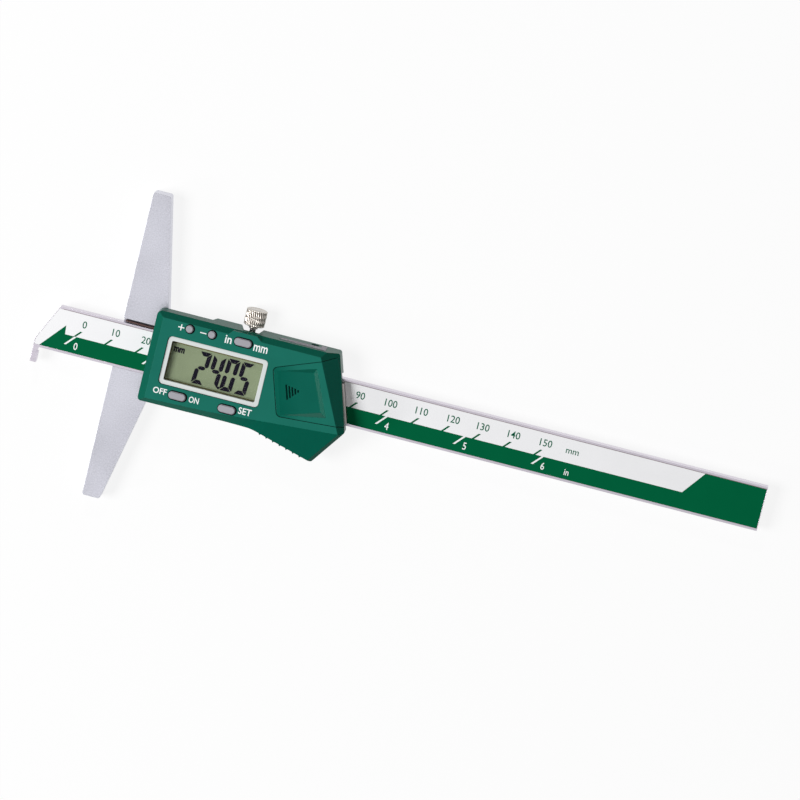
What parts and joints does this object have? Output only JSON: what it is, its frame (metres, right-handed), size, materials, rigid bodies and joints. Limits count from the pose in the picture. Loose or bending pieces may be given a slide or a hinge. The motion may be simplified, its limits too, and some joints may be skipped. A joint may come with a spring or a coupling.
{
  "type": "digital depth gauge",
  "caption": "Digital depth gauge: a flat beam with a hook end slides through a wide base and an electronic display housing, with a lock screw.",
  "frame": {"origin": "in the plane of the base's measuring face, on the axis of the beam, at half the height of the base", "axes": "+X along the beam from the measuring face to the tail, +Y towards the lock screw, +Z out of the display; the gauge lies on its back"},
  "size_m": [0.2359, 0.1, 0.0143],
  "materials": {
    "steel": "satin",
    "bronze": "satin",
    "dark_steel": "satin",
    "green_plastic": "fine grain",
    "pale_plastic": "smooth",
    "clear_pane": "clear",
    "display": "smooth",
    "elastomer": "matte",
    "laminate": "satin",
    "black_plastic": "matte",
    "contact_metal": "bright",
    "cell_steel": "bright",
    "strip_laminate": "matte",
    "white_film": "smooth",
    "green_ink": "smooth",
    "grey_plastic": "smooth",
    "knurled_steel": "satin"
  },
  "bodies": {
    "slider": {"base_frame": "steel", "gib_strip": "bronze", "gib_screws": "dark_steel", "housing": "green_plastic", "housing_screws": "dark_steel", "end_plate": "steel", "display_bezel": "pale_plastic", "display_lens": "clear_pane", "lcd_panel": "display", "zebra_strips": "elastomer", "circuit_board": "laminate", "board_parts": "black_plastic", "switch_domes": "contact_metal", "battery_cell": "cell_steel", "battery_contact_plus": "contact_metal", "battery_contact_minus": "contact_metal", "port_contacts": "contact_metal"},
    "beam": {"beam": "steel", "scale_strip": "strip_laminate", "scale_label": "white_film", "scale_print": "green_ink", "stop_screws": "dark_steel"},
    "battery_door": {"battery_door": "green_plastic"},
    "lock_screw": {"lock_screw": "knurled_steel"},
    "lock_pin": {"lock_pin": "bronze"},
    "port_cover": {"port_cover": "grey_plastic"},
    "button_plus": {"button_plus": "grey_plastic"},
    "button_minus": {"button_minus": "grey_plastic"},
    "button_unit": {"button_unit": "grey_plastic"},
    "button_power": {"button_power": "grey_plastic"},
    "button_set": {"button_set": "grey_plastic"}
  },
  "joints": [
    {"name": "beam_slide", "type": "slide", "parent": "slider", "child": "beam", "axis": [1, 0, 0], "range_m": [-0.12595, 0.02403]},
    {"name": "door_slide", "type": "slide", "parent": "slider", "child": "battery_door", "axis": [0.9537, 0.3007, 0], "range_m": [0, 0.022]},
    {"name": "button_plus_press", "type": "slide", "parent": "slider", "child": "button_plus", "axis": [0, 0, 1], "range_m": [-0.00045, 0], "stiffness_N_per_m": 800, "springref_m": 0.0002},
    {"name": "button_minus_press", "type": "slide", "parent": "slider", "child": "button_minus", "axis": [0, 0, 1], "range_m": [-0.00045, 0], "stiffness_N_per_m": 800, "springref_m": 0.0002},
    {"name": "button_unit_press", "type": "slide", "parent": "slider", "child": "button_unit", "axis": [0, 0, 1], "range_m": [-0.00045, 0], "stiffness_N_per_m": 800, "springref_m": 0.0002},
    {"name": "button_power_press", "type": "slide", "parent": "slider", "child": "button_power", "axis": [0, 0, 1], "range_m": [-0.00045, 0], "stiffness_N_per_m": 800, "springref_m": 0.0002},
    {"name": "button_set_press", "type": "slide", "parent": "slider", "child": "button_set", "axis": [0, 0, 1], "range_m": [-0.00045, 0], "stiffness_N_per_m": 800, "springref_m": 0.0002},
    {"name": "lock_turn", "type": "hinge", "parent": "slider", "child": "lock_screw", "pos_m": [0.0404, 0.019, 0.0013], "axis": [0, -1, 0], "range_deg": [0, 160]},
    {"name": "pin_press", "type": "slide", "parent": "slider", "child": "lock_pin", "axis": [0, -1, 0], "range_m": [0, 0.000201]},
    {"name": "cover_pull", "type": "slide", "parent": "slider", "child": "port_cover", "axis": [0, 1, 0], "range_m": [0, 0.006]}
  ],
  "couplings": [
    {"joint": "pin_press", "follows": "lock_turn", "m_per_rad": 0.00007162}
  ]
}
